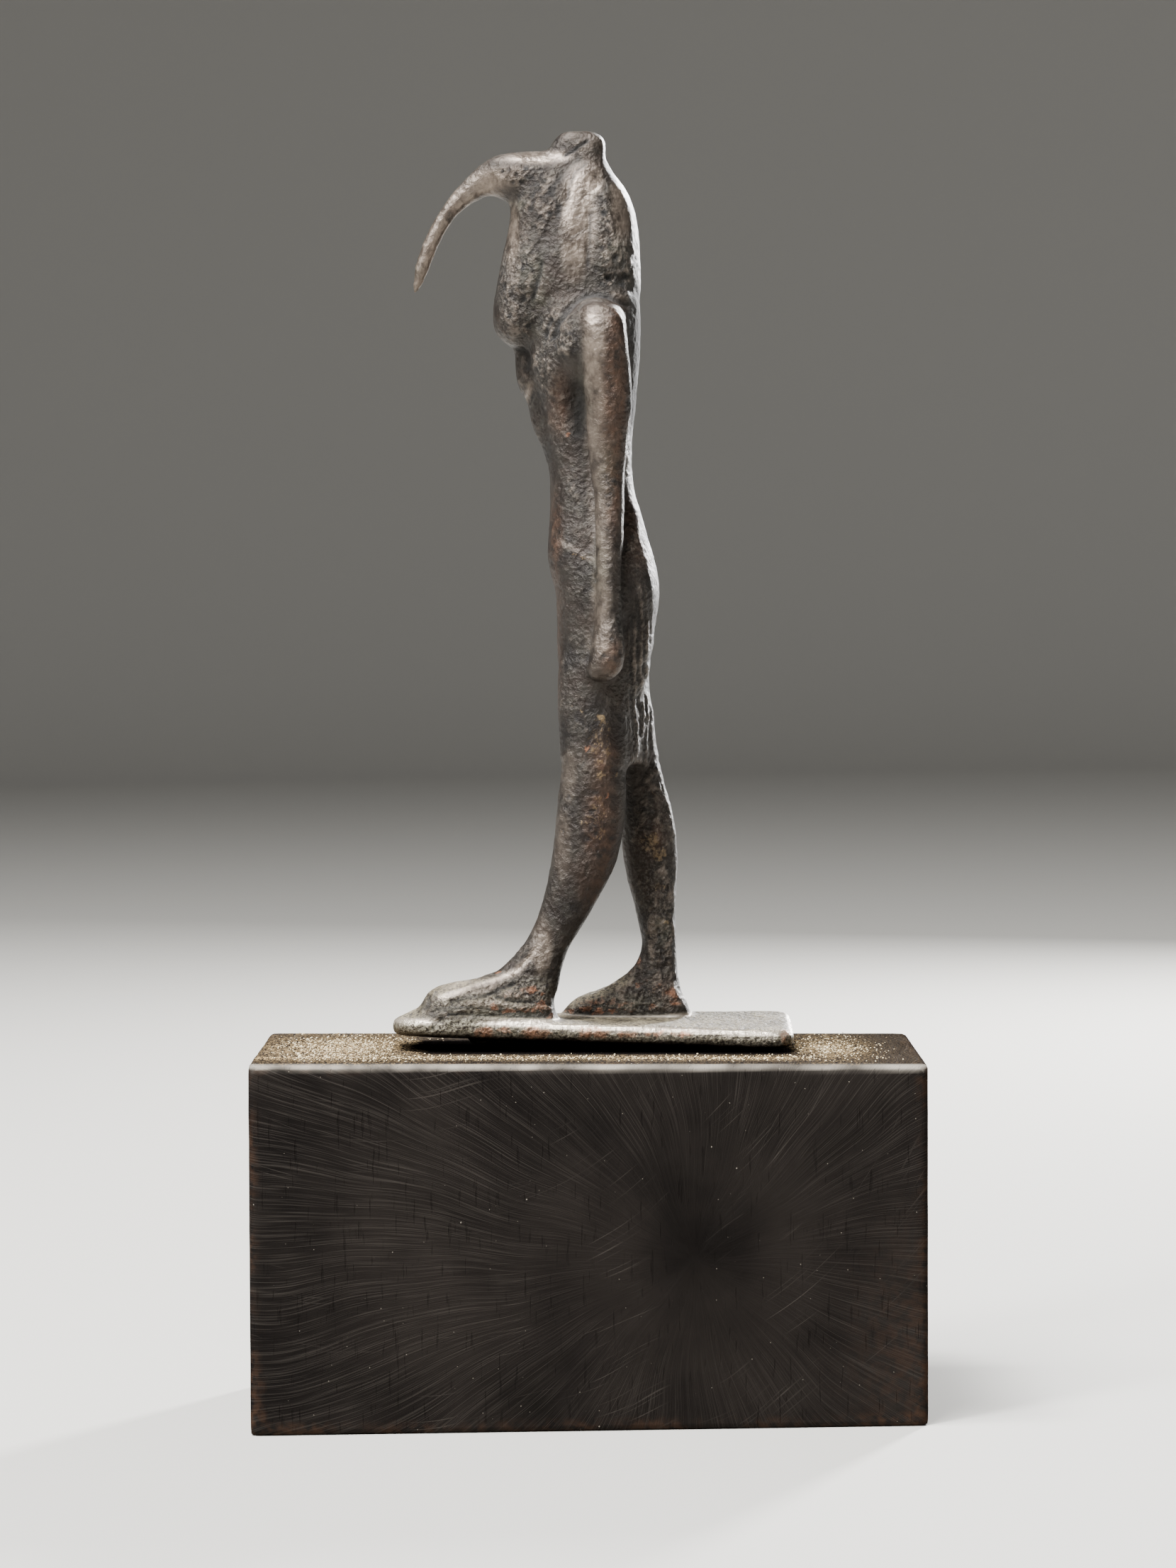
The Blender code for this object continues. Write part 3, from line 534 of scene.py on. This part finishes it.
    # painted shade: the gap behind the near arm is coloured black
    dirtAndPaintedShade = np.maximum(dirtAndPaintedShade, 0.9 * spots(flat, size["paintedShadeBehindArm"]))
    rubbed = smoothStep(-sunk, *size["proudRange"])
    upward = smoothStep(normals[:, 2], 0.35, 0.9)
    torn = np.stack([noiseField(points, wide["fleckEdge"], 2, s) for s in (3.3, 57.0)], 1)
    spread = flat + size["fleckStray"] * torn
    lowDown = 1 - smoothStep(flat[:, 1], 60, 90)
    marks = {
        "rubbedAndPaintedHighlight": (rubbedAndPaintedHighlight + 0.5 * rubbed * (0.3 + 0.7 * crust)) * (1 - dirtAndPaintedShade),
        "crust": crust,
        "warm": spots(flat, size["warm"]) * either,
        "darkPatinaAndPaintedShade": spots(flat, size["darkPatinaAndPaintedShade"]) * either,
        "olive": spots(flat, size["olive"]) * either,
        "verdigris": np.maximum(plateSide, spots(flat, size["verdigris"]) * near),
        "sandy": upward * lowDown * (0.75 + 0.5 * patches) * (1 - paintedPlateEdgeHighlight),
        "paintedPlateEdgeHighlight": paintedPlateEdgeHighlight * (0.8 + 0.6 * patches),
        "dirtAndPaintedShade": dirtAndPaintedShade,
        "ochre": spots(spread, size["ochre"]) * near,
        "red": spots(spread, size["red"]) * (0.3 + 0.7 * near),
        "pleats": pleats,
    }
    writeMarks(mesh, marks)
    mesh.shade_smooth()
    mesh.name = "bronze_figure"
    piece = newPiece("bronze_figure", mesh, patinatedBronze(size, marks))
    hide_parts("thoth_figure")
    print("figure: done", len(mesh.polygons), "faces")


makeFigure(bronze)


# The block. Places on it are metres from the middle of its foot.
block = {
    "voxel": 0.00042,
    "edgeWear": 0.00006,                     # how far edges are knocked in
    "edgeReach": (0.0002, 0.0016),           # from the edge, where that begins to fade and is gone
    "knockSize": 3.5,                        # mm
    "nickSize": 1.1,                         # mm
    "footReach": 0.0012,                     # above this the knocks are at full depth
    "cornerHeight": (0.001, 0.009),          # the low corners are worn brown: heights of full and no wear
    "cornerFrom": (0.024, 0.0325),           # distances from the middle of no and full wear
    "paintedGlintHeart": (0.0105, 0.0168),        # X and Z of the near face that the painted glint of the scratches fans out from
    "strokeWidth": 0.17,                     # degrees between the marks, as seen from there
    "strokeLength": 9.0,                     # mm
    "strokeStart": 0.018,                    # the marks are at full strength this far from there
    "strokeSwerve": 0.0042,                  # how far the marks are bent off their straight way, at most
    "arcCentre": (-0.018, 0.0, 0.058),       # long curved marks run round this place
    "arcSpacing": 0.17,                      # mm
    "dustHeart": (-0.0235, -0.001),          # X and Y where sand lies thickest, beside the toes
    "heartSpread": (0.0085, 0.012),
    "dustStrip": -0.0110,                    # Y of the sand along the plate's near side
    "stripSpread": 0.0021,
    "stripEnd": 0.024,                       # X where it ends
    "stripFade": 0.006,
    "dustRight": 0.0240,                     # X of the sand beyond its heel end
    "rightSpread": (0.0032, 0.011),
    "dustAmounts": {"heart": 0.92, "strip": 0.90, "right": 0.9, "all": 0.06},
    # the plate keeps dust off the wood below it, and its shadow is painted there: X and Y where that begins
    # and ends, from none to full
    "shelteredFrom": (-0.0175, -0.0160),
    "shelteredTo": (0.0195, 0.0210),
    "shelteredNear": (-0.0080, -0.0066),
    "shelteredFar": (0.0066, 0.0090),
    "shelteredStray": (0.0012, 0.0008),      # how far its edges wander
    "brownCorner": (0.0315, 0.006),          # X and Z of the corner that handling has browned
    "brownSpread": (0.005, 0.010),
    # sizes in mm. Real pores and dust specks are about 0.1 mm wide; they are drawn as coarse as they need.
    "patterns": {"clouds": 11.0, "patches": 6.0, "swerve": 17.0, "arcLength": 14.0, "pores": 0.35,
                 "specks": 0.30, "rubbed": 0.9, "grains": 0.26},
    "ground": ("#131110", "#1e1b19"),
    # what lies over the black, painted highlight and shadow among it, in this order: how much of it at
    # most, and its colour
    "tints": [
        # scratches, and the painted glint of their fan-out pattern
        ("scratchesAndPaintedGlint", 0.32, "#4d4843"),
        ("pores", 0.28, "#080707"),
        ("rubbed", 0.60, "#3a2a20"),
        # painted shadow: near-black under the plate
        ("paintedShadowUnderPlate", 0.85, "#040303"),
        # painted highlight on the rounded front edges
        ("paintedEdgeHighlight", 0.80, "#8d877e"),
        ("specks", 0.60, "#8a8378"),
        ("sand", 0.92, "#c0a478"),
    ],
    "bumpHeight": 0.00007,
}


def ebonisedWood(size, markNames):
    # Close-grained hardwood, stained black, sanded by hand and hardly waxed. It is nearly black with a
    # warm ground and corners rubbed brown; painted on it are the glint of the sanding marks as pale lines,
    # a highlight along the front edges, and the plate's shadow on the top.
    material, tree, shader = newMaterial("ebonisedWood")
    place = addNode(tree, "TexCoord", "Object", {})
    scale = {name: perMetre(width) for name, width in size["patterns"].items()}
    marks = {name: addNode(tree, "Attribute", "Fac", {}, attribute_name=name) for name in markNames}
    clouds = addNode(tree, "TexNoise", "Fac", {"Vector": place, "Scale": scale["clouds"], "Detail": 3.0})
    patches = addNode(tree, "TexNoise", "Fac", {"Vector": place, "Scale": scale["patches"], "Detail": 2.0})

    # painted reflection: pale scratch lines fan out from one place, where sanding marks would catch a lamp;
    # noise read finely by direction, and slowly by distance
    heartX, heartZ = size["paintedGlintHeart"]
    swerve = addNode(tree, "TexNoise", "Color", {"Vector": place, "Scale": scale["swerve"], "Detail": 1.0})
    swerve = addNode(tree, "VectorMath", "Vector", {0: swerve, 1: (0.5, 0.5, 0.5)}, operation="SUBTRACT")
    swerve = addNode(tree, "VectorMath", "Vector", {0: swerve, "Scale": size["strokeSwerve"]},
                     operation="SCALE")
    bent = addNode(tree, "VectorMath", "Vector", {0: place, 1: swerve}, operation="ADD")
    apart = addNode(tree, "Mapping", "Vector", {"Vector": bent, "Location": (-heartX, 0.0, -heartZ)})
    axes = addNode(tree, "SeparateXYZ", "X", {"Vector": apart}).node.outputs
    sideways = addNode(tree, "CombineXYZ", "Vector", {"X": axes["X"], "Z": axes["Z"]})
    reach = addNode(tree, "VectorMath", "Value", {0: sideways}, operation="LENGTH")
    heading = addNode(tree, "VectorMath", "Vector", {0: sideways}, operation="NORMALIZE")
    fineness = math.degrees(1) / size["strokeWidth"]
    rays = addNode(tree, "VectorMath", "Vector", {0: heading, 1: (fineness, 0.0, fineness)},
                   operation="MULTIPLY")
    drift = addNode(tree, "Math", 0, {0: reach, 1: perMetre(size["strokeLength"])}, operation="MULTIPLY")
    drift = addNode(tree, "CombineXYZ", "Vector", {"Y": drift})
    rays = addNode(tree, "VectorMath", "Vector", {0: rays, 1: drift}, operation="ADD")
    strokes = addNode(tree, "TexNoise", "Fac", {"Vector": rays, "Scale": 1.0, "Detail": 2.0,
                                                "Roughness": 0.6})
    scratchesAndPaintedGlint = addNode(tree, "MapRange", "Result", {"Value": strokes, "From Min": 0.50, "From Max": 0.78})
    begun = addNode(tree, "MapRange", "Result", {"Value": reach, "From Max": size["strokeStart"],
                                                 "To Min": 0.1})
    scratchesAndPaintedGlint = addNode(tree, "Math", 0, {0: scratchesAndPaintedGlint, 1: begun}, operation="MULTIPLY")
    # long arcs, as thin rings round a place above the block
    away = addNode(tree, "VectorMath", "Value", {0: bent, 1: size["arcCentre"]}, operation="DISTANCE")
    rings = addNode(tree, "Math", 0, {0: away, 1: perMetre(size["arcSpacing"])}, operation="MULTIPLY")
    onward = addNode(tree, "Math", 0, {0: axes["X"], 1: scale["arcLength"]}, operation="MULTIPLY")
    rings = addNode(tree, "CombineXYZ", "Vector", {"X": rings, "Y": onward})
    arcs = addNode(tree, "TexNoise", "Fac", {"Vector": rings, "Scale": 1.0, "Detail": 1.0})
    arcs = addNode(tree, "MapRange", "Result", {"Value": arcs, "From Min": 0.64, "From Max": 0.74})
    where = addNode(tree, "MapRange", "Result", {"Value": patches, "From Min": 0.46, "From Max": 0.60})
    arcs = addNode(tree, "Math", 0, {0: arcs, 1: where}, operation="MULTIPLY")
    scratchesAndPaintedGlint = addNode(tree, "Math", 0, {0: scratchesAndPaintedGlint, 1: arcs}, operation="MAXIMUM")

    upright = addNode(tree, "Mapping", "Vector", {"Vector": place, "Scale": (1.0, 1.0, 0.10)})
    pores = addNode(tree, "TexNoise", "Fac", {"Vector": upright, "Scale": scale["pores"], "Detail": 2.0})
    pores = addNode(tree, "MapRange", "Result", {"Value": pores, "From Min": 0.62, "From Max": 0.72})
    specks = addNode(tree, "TexNoise", "Fac", {"Vector": place, "Scale": scale["specks"], "Detail": 0.0})
    specks = addNode(tree, "MapRange", "Result", {"Value": specks, "From Min": 0.84, "From Max": 0.89})
    rubbed = addNode(tree, "TexNoise", "Fac", {"Vector": place, "Scale": scale["rubbed"], "Detail": 4.0})
    rubbed = addNode(tree, "MapRange", "Result", {"Value": rubbed, "From Min": 0.40, "From Max": 0.62})
    rubbed = addNode(tree, "Math", 0, {0: rubbed, 1: marks["worn"]}, operation="MULTIPLY")
    grains = addNode(tree, "TexNoise", "Fac", {"Vector": place, "Scale": scale["grains"], "Detail": 2.0,
                                               "Roughness": 0.8})
    grains = addNode(tree, "MapRange", "Result", {"Value": grains, "From Min": 0.52, "From Max": 0.60})
    sand = addNode(tree, "Math", 0, {0: grains, 1: marks["dusty"]}, operation="MULTIPLY")

    ground = addNode(tree, "MapRange", "Result", {"Value": clouds, "From Min": 0.35, "From Max": 0.65})
    dark, light = size["ground"]
    tone = addNode(tree, "Mix", 2, {0: ground, 6: linearColour(dark), 7: linearColour(light)},
                   data_type="RGBA")
    layers = {"scratchesAndPaintedGlint": scratchesAndPaintedGlint, "pores": pores, "rubbed": rubbed, "specks": specks, "sand": sand,
              "paintedShadowUnderPlate": marks["paintedShadowUnderPlate"], "paintedEdgeHighlight": marks["paintedEdgeHighlight"]}
    for layer, most, colour in size["tints"]:
        share = addNode(tree, "Math", 0, {0: layers[layer], 1: most}, operation="MULTIPLY")
        tone = addNode(tree, "Mix", 2, {0: share, 6: tone, 7: linearColour(colour)}, data_type="RGBA")
    tree.links.new(tone, shader.inputs["Base Color"])
    gloss = addNode(tree, "MapRange", "Result", {"Value": marks["worn"], "To Min": 0.55, "To Max": 0.32})
    gloss = addNode(tree, "Math", 0, {0: gloss, 1: sand}, operation="MAXIMUM")
    tree.links.new(gloss, shader.inputs["Roughness"])
    shader.inputs["Specular IOR Level"].default_value = 0.0      # dusty and open-pored: it mirrors nothing
    relief = addNode(tree, "Math", 0, {0: sand, 1: 1.6}, operation="MULTIPLY")
    relief = addNode(tree, "Math", 0, {0: relief, 1: strokes}, operation="ADD")
    relief = addNode(tree, "Math", 0, {0: relief, 1: pores}, operation="SUBTRACT")
    normal = addNode(tree, "Bump", "Normal", {"Strength": 0.7, "Distance": size["bumpHeight"],
                                            "Height": relief})
    tree.links.new(normal, shader.inputs["Normal"])
    return material


def makeBlock(size):
    mesh, coarse = fineCopy("plinth", size["voxel"])
    bm = bmesh.new()
    bm.from_mesh(coarse)
    exact = BVHTree.FromBMesh(bm)            # the solid itself, so that the flat faces stay flat
    bm.free()
    bpy.data.meshes.remove(coarse)
    points = np.array([exact.find_nearest(Vector(p))[0] for p in readPoints(mesh).tolist()])
    writePoints(mesh, points)
    normals = readNormals(mesh)
    low, high = np.array(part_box("plinth")[0]), np.array(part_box("plinth")[1])
    gaps = np.concatenate([points - low, high - points], 1)
    closeness = np.sort(gaps, 1)[:, 1]       # distance to the nearest edge: the second-nearest face
    edge = 1 - smoothStep(closeness, *size["edgeReach"])
    knocks = noiseField(points, size["knockSize"], 3, 5.0)
    nicks = noiseField(points, size["nickSize"], 2, 31.0)
    inwards = size["edgeWear"] * edge * (0.7 + knocks + 0.6 * np.clip(nicks - 0.25, 0, 1))
    inwards = np.clip(inwards, 0, None)
    foot = smoothStep(points[:, 2], 0.0, size["footReach"])     # the foot stays flat where it stands
    points = np.clip(points - normals * (inwards * foot)[:, None], low, high)
    writePoints(mesh, points)
    lowCorners = 1 - smoothStep(points[:, 2], *size["cornerHeight"])
    lowCorners = lowCorners * smoothStep(np.abs(points[:, 0]), *size["cornerFrom"])
    above = smoothStep(normals[:, 2], 0.6, 0.95)
    dust = size["dustAmounts"]
    (heartX, heartY), (spreadX, spreadY) = size["dustHeart"], size["heartSpread"]
    heap = np.exp(-(((points[:, 0] - heartX) / spreadX)**2 + ((points[:, 1] - heartY) / spreadY)**2))
    strip = np.exp(-((points[:, 1] - size["dustStrip"]) / size["stripSpread"])**2)
    strip = strip * smoothStep(size["stripEnd"] - points[:, 0], 0, size["stripFade"])
    spreadX, spreadY = size["rightSpread"]
    right = np.exp(-(((points[:, 0] - size["dustRight"]) / spreadX)**2 + (points[:, 1] / spreadY)**2))
    thickest = np.maximum.reduce([dust["heart"] * heap, dust["strip"] * strip, dust["right"] * right])
    farX, farY = size["shelteredStray"]
    strayX, strayY = points[:, 0] + farX * knocks, points[:, 1] + farY * nicks
    under = smoothStep(strayX, *size["shelteredFrom"]) * (1 - smoothStep(strayX, *size["shelteredTo"]))
    under = under * smoothStep(points[:, 1], *size["shelteredNear"])
    beyond = smoothStep(strayY, *size["shelteredFar"])
    tilted = smoothStep(normals[:, 2], 0.12, 0.55) * (1 - smoothStep(normals[:, 2], 0.82, 0.98))
    (cornerX, cornerZ), (spreadX, spreadZ) = size["brownCorner"], size["brownSpread"]
    browned = np.exp(-(((points[:, 0] - cornerX) / spreadX)**2 + ((points[:, 2] - cornerZ) / spreadZ)**2))
    marks = {
        "worn": edge * (0.45 + 0.8 * knocks) + lowCorners * 0.55 * (edge > 0.05) + 0.45 * browned,
        # painted highlight: edges that face up and forward are coloured pale
        "paintedEdgeHighlight": tilted * (0.75 + 0.7 * knocks) * (normals[:, 1] < -0.2),
        "dusty": above * (thickest + dust["all"]) * (1 - under * (1 - 0.3 * beyond)),
        # painted shadow: the top below the plate is laid near-black
        "paintedShadowUnderPlate": above * under * (1 - beyond),
    }
    writeMarks(mesh, marks)
    mesh.shade_smooth()
    mesh.name = "wood_block"
    piece = newPiece("wood_block", mesh, ebonisedWood(size, marks))
    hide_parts("plinth")
    print("block: done", len(mesh.polygons), "faces")


makeBlock(block)


# Loose sand on the block's top: a drift beside the toes, a line before the plate, and some by its heel end
looseSand = {
    "grains": 3000,
    "handful": 1600,                         # faces built at a time
    "grainSize": (0.00004, 0.00012),         # half the width of a grain
    "grainShape": ((0.6, 1.0), (0.5, 0.8)),  # its breadth and height, as shares of that
    "plate": (-0.0192, 0.0202, 0.0068),      # X from, X to and half Y of the plate's foot, kept clear
    "edge": (0.0312, 0.0152),                # half X and half Y of the top inside its rounded edge
    "heapSpread": (0.0045, 0.0072),          # X and Y, beside the toes
    "stripReach": (-0.028, 0.022),           # X from and to, before the plate
    "stripSpread": 0.0014,                   # Y
    "heelMiddle": -0.001,                    # Y, by the heel end
    "heelSpread": (0.0024, 0.007),           # X and Y
    "sunk": 0.35,                            # how high a grain's middle is, as a share of half its width
    "colours": ("#6b573b", "#e2d2ad"),
    "colourSize": 0.4,                       # mm, so that neighbouring grains differ
    "seed": 11,
}


def quartzSand(size):
    # Desert sand and burial dust: single dull grains, pale gold to brown, with no gloss.
    material, tree, shader = newMaterial("quartzSand")
    place = addNode(tree, "TexCoord", "Object", {})
    scale = perMetre(size["colourSize"])
    pick = addNode(tree, "TexNoise", "Fac", {"Vector": place, "Scale": scale, "Detail": 1.0})
    pick = addNode(tree, "MapRange", "Result", {"Value": pick, "From Min": 0.38, "From Max": 0.62})
    dark, light = size["colours"]
    tone = addNode(tree, "Mix", 2, {0: pick, 6: linearColour(dark), 7: linearColour(light)},
                   data_type="RGBA")
    tree.links.new(tone, shader.inputs["Base Color"])
    shader.inputs["Roughness"].default_value = 0.85
    return material


def makeSand(size, bed):
    draw = random.Random(size["seed"])
    mesh = bpy.data.meshes.new("sand_grains")
    handful = bmesh.new()
    heartX, heartY = bed["dustHeart"]
    heapX, heapY = size["heapSpread"]
    heelX, heelY = size["heelSpread"]
    plateFrom, plateTo, plateHalf = size["plate"]
    edgeX, edgeY = size["edge"]
    broad, thick = size["grainShape"]
    for i in range(size["grains"]):
        if i % 10 < 5:
            x, y = draw.gauss(heartX, heapX), draw.gauss(heartY, heapY)
        elif i % 10 < 8:
            x, y = draw.uniform(*size["stripReach"]), draw.gauss(bed["dustStrip"], size["stripSpread"])
        else:
            x, y = draw.gauss(bed["dustRight"], heelX), draw.gauss(size["heelMiddle"], heelY)
        half = draw.uniform(*size["grainSize"])
        turn = Matrix.Rotation(draw.uniform(0, math.pi), 4, "Z")
        shape = Matrix.Diagonal((1.0, draw.uniform(*broad), draw.uniform(*thick), 1.0))
        if plateFrom < x < plateTo and abs(y) < plateHalf or abs(x) > edgeX or abs(y) > edgeY:
            continue
        spot = blockTop @ Vector((x, y, half * size["sunk"]))
        bmesh.ops.create_icosphere(handful, subdivisions=1, radius=half,
                                   matrix=Matrix.Translation(spot) @ turn @ shape)
        if len(handful.faces) > size["handful"] or i == size["grains"] - 1:      # small ones fill faster
            handful.from_mesh(mesh)
            handful.to_mesh(mesh)
            handful.clear()
    handful.free()
    newPiece("sand_grains", mesh, quartzSand(size))
    print("sand:", len(mesh.polygons), "faces")


makeSand(looseSand, block)


# The studio: a pale floor that curves up all round, a tall soft key, a small strip behind, and a bar above
studio = {
    "floorRadius": 1.6,
    "curve": 0.5,                            # radius of the bend between floor and wall
    "curveSteps": 8,
    "turnSteps": 64,
    "wall": 1.6,
    "floorColour": "#a5a39e",
    "lamps": {
        "key": {"at": (-0.30, -0.34, 0.52), "size": (0.10, 0.50), "power": 9.5},
        "strip": {"at": (0.23, 0.46, 0.25), "size": (0.05, 0.20), "power": 11.0},
        "above": {"at": (-0.16, -0.15, 0.72), "size": (0.36, 0.14), "power": 23.0},
    },
    "aim": (0.0, 0.0, 0.075),
    "air": 0.05,
}


def makeStudio(setup):
    # Seamless studio paper, matt and even, so that nothing draws the eye from the piece.
    material, _, shader = newMaterial("paleFloorPaper")
    shader.inputs["Base Color"].default_value = linearColour(setup["floorColour"])
    shader.inputs["Roughness"].default_value = 0.9
    bm = bmesh.new()
    rim = setup["floorRadius"]
    bend = setup["curve"]
    profile = [bm.verts.new((0.0001, 0, 0)), bm.verts.new((rim, 0, 0))]
    steps = setup["curveSteps"]
    for i in range(1, steps + 1):
        turn = math.pi / 2 * i / steps
        profile.append(bm.verts.new((rim + bend * math.sin(turn), 0, bend * (1 - math.cos(turn)))))
    profile.append(bm.verts.new((rim + bend, 0, bend + setup["wall"])))
    line = [bm.edges.new(pair) for pair in zip(profile, profile[1:])]
    bmesh.ops.spin(bm, geom=profile + line, cent=(0, 0, 0), axis=(0, 0, 1), angle=2 * math.pi,
                   steps=setup["turnSteps"], use_merge=True)
    bmesh.ops.remove_doubles(bm, verts=bm.verts, dist=0.0005)
    bmesh.ops.recalc_face_normals(bm, faces=bm.faces)
    mesh = bpy.data.meshes.new("studio_floor")
    bm.to_mesh(mesh)
    bm.free()
    mesh.shade_smooth()
    mesh.materials.append(material)
    floor = bpy.data.objects.new("studio_floor", mesh)
    bpy.context.scene.collection.objects.link(floor)
    for name, kind in setup["lamps"].items():
        lamp = bpy.data.lights.new(name, "AREA")
        lamp.shape = "RECTANGLE"
        lamp.size, lamp.size_y = kind["size"]
        lamp.energy = kind["power"]
        thing = bpy.data.objects.new(name, lamp)
        thing.location = kind["at"]
        aim = Vector(setup["aim"]) - thing.location
        thing.rotation_euler = aim.to_track_quat("-Z", "Y").to_euler()
        thing.visible_camera = False
        bpy.context.scene.collection.objects.link(thing)
    world = bpy.data.worlds.new("studio_air")
    world.use_nodes = True
    world.node_tree.nodes["Background"].inputs["Color"].default_value = (1.0, 1.0, 1.0, 1.0)
    world.node_tree.nodes["Background"].inputs["Strength"].default_value = setup["air"]
    bpy.context.scene.world = world


makeStudio(studio)

# The camera stands square to the block, a little above its top, and looks slightly down
view = {
    "focalPixels": 6930,
    "framePixels": 2212,
    "sensor": 36.0,
    "away": 0.4835,
    "eyeHeight": 0.04575,                    # above the middle of the block's top
    "eyeLine": 283,                          # pixels of the frame that it runs above the frame's middle
}


def makeCamera(setup):
    lookDown = math.atan(setup["eyeLine"] / setup["focalPixels"])
    lens = bpy.data.cameras.new("camera")
    lens.sensor_width = setup["sensor"]
    lens.lens = setup["focalPixels"] / setup["framePixels"] * setup["sensor"]
    lens.clip_start = 0.01
    lens.clip_end = 20.0
    camera = bpy.data.objects.new("camera", lens)
    camera.matrix_world = (blockTop @ Matrix.Translation((0, -setup["away"], setup["eyeHeight"]))
                           @ Matrix.Rotation(math.pi / 2 - lookDown, 4, "X"))
    bpy.context.scene.collection.objects.link(camera)
    bpy.context.scene.camera = camera


makeCamera(view)
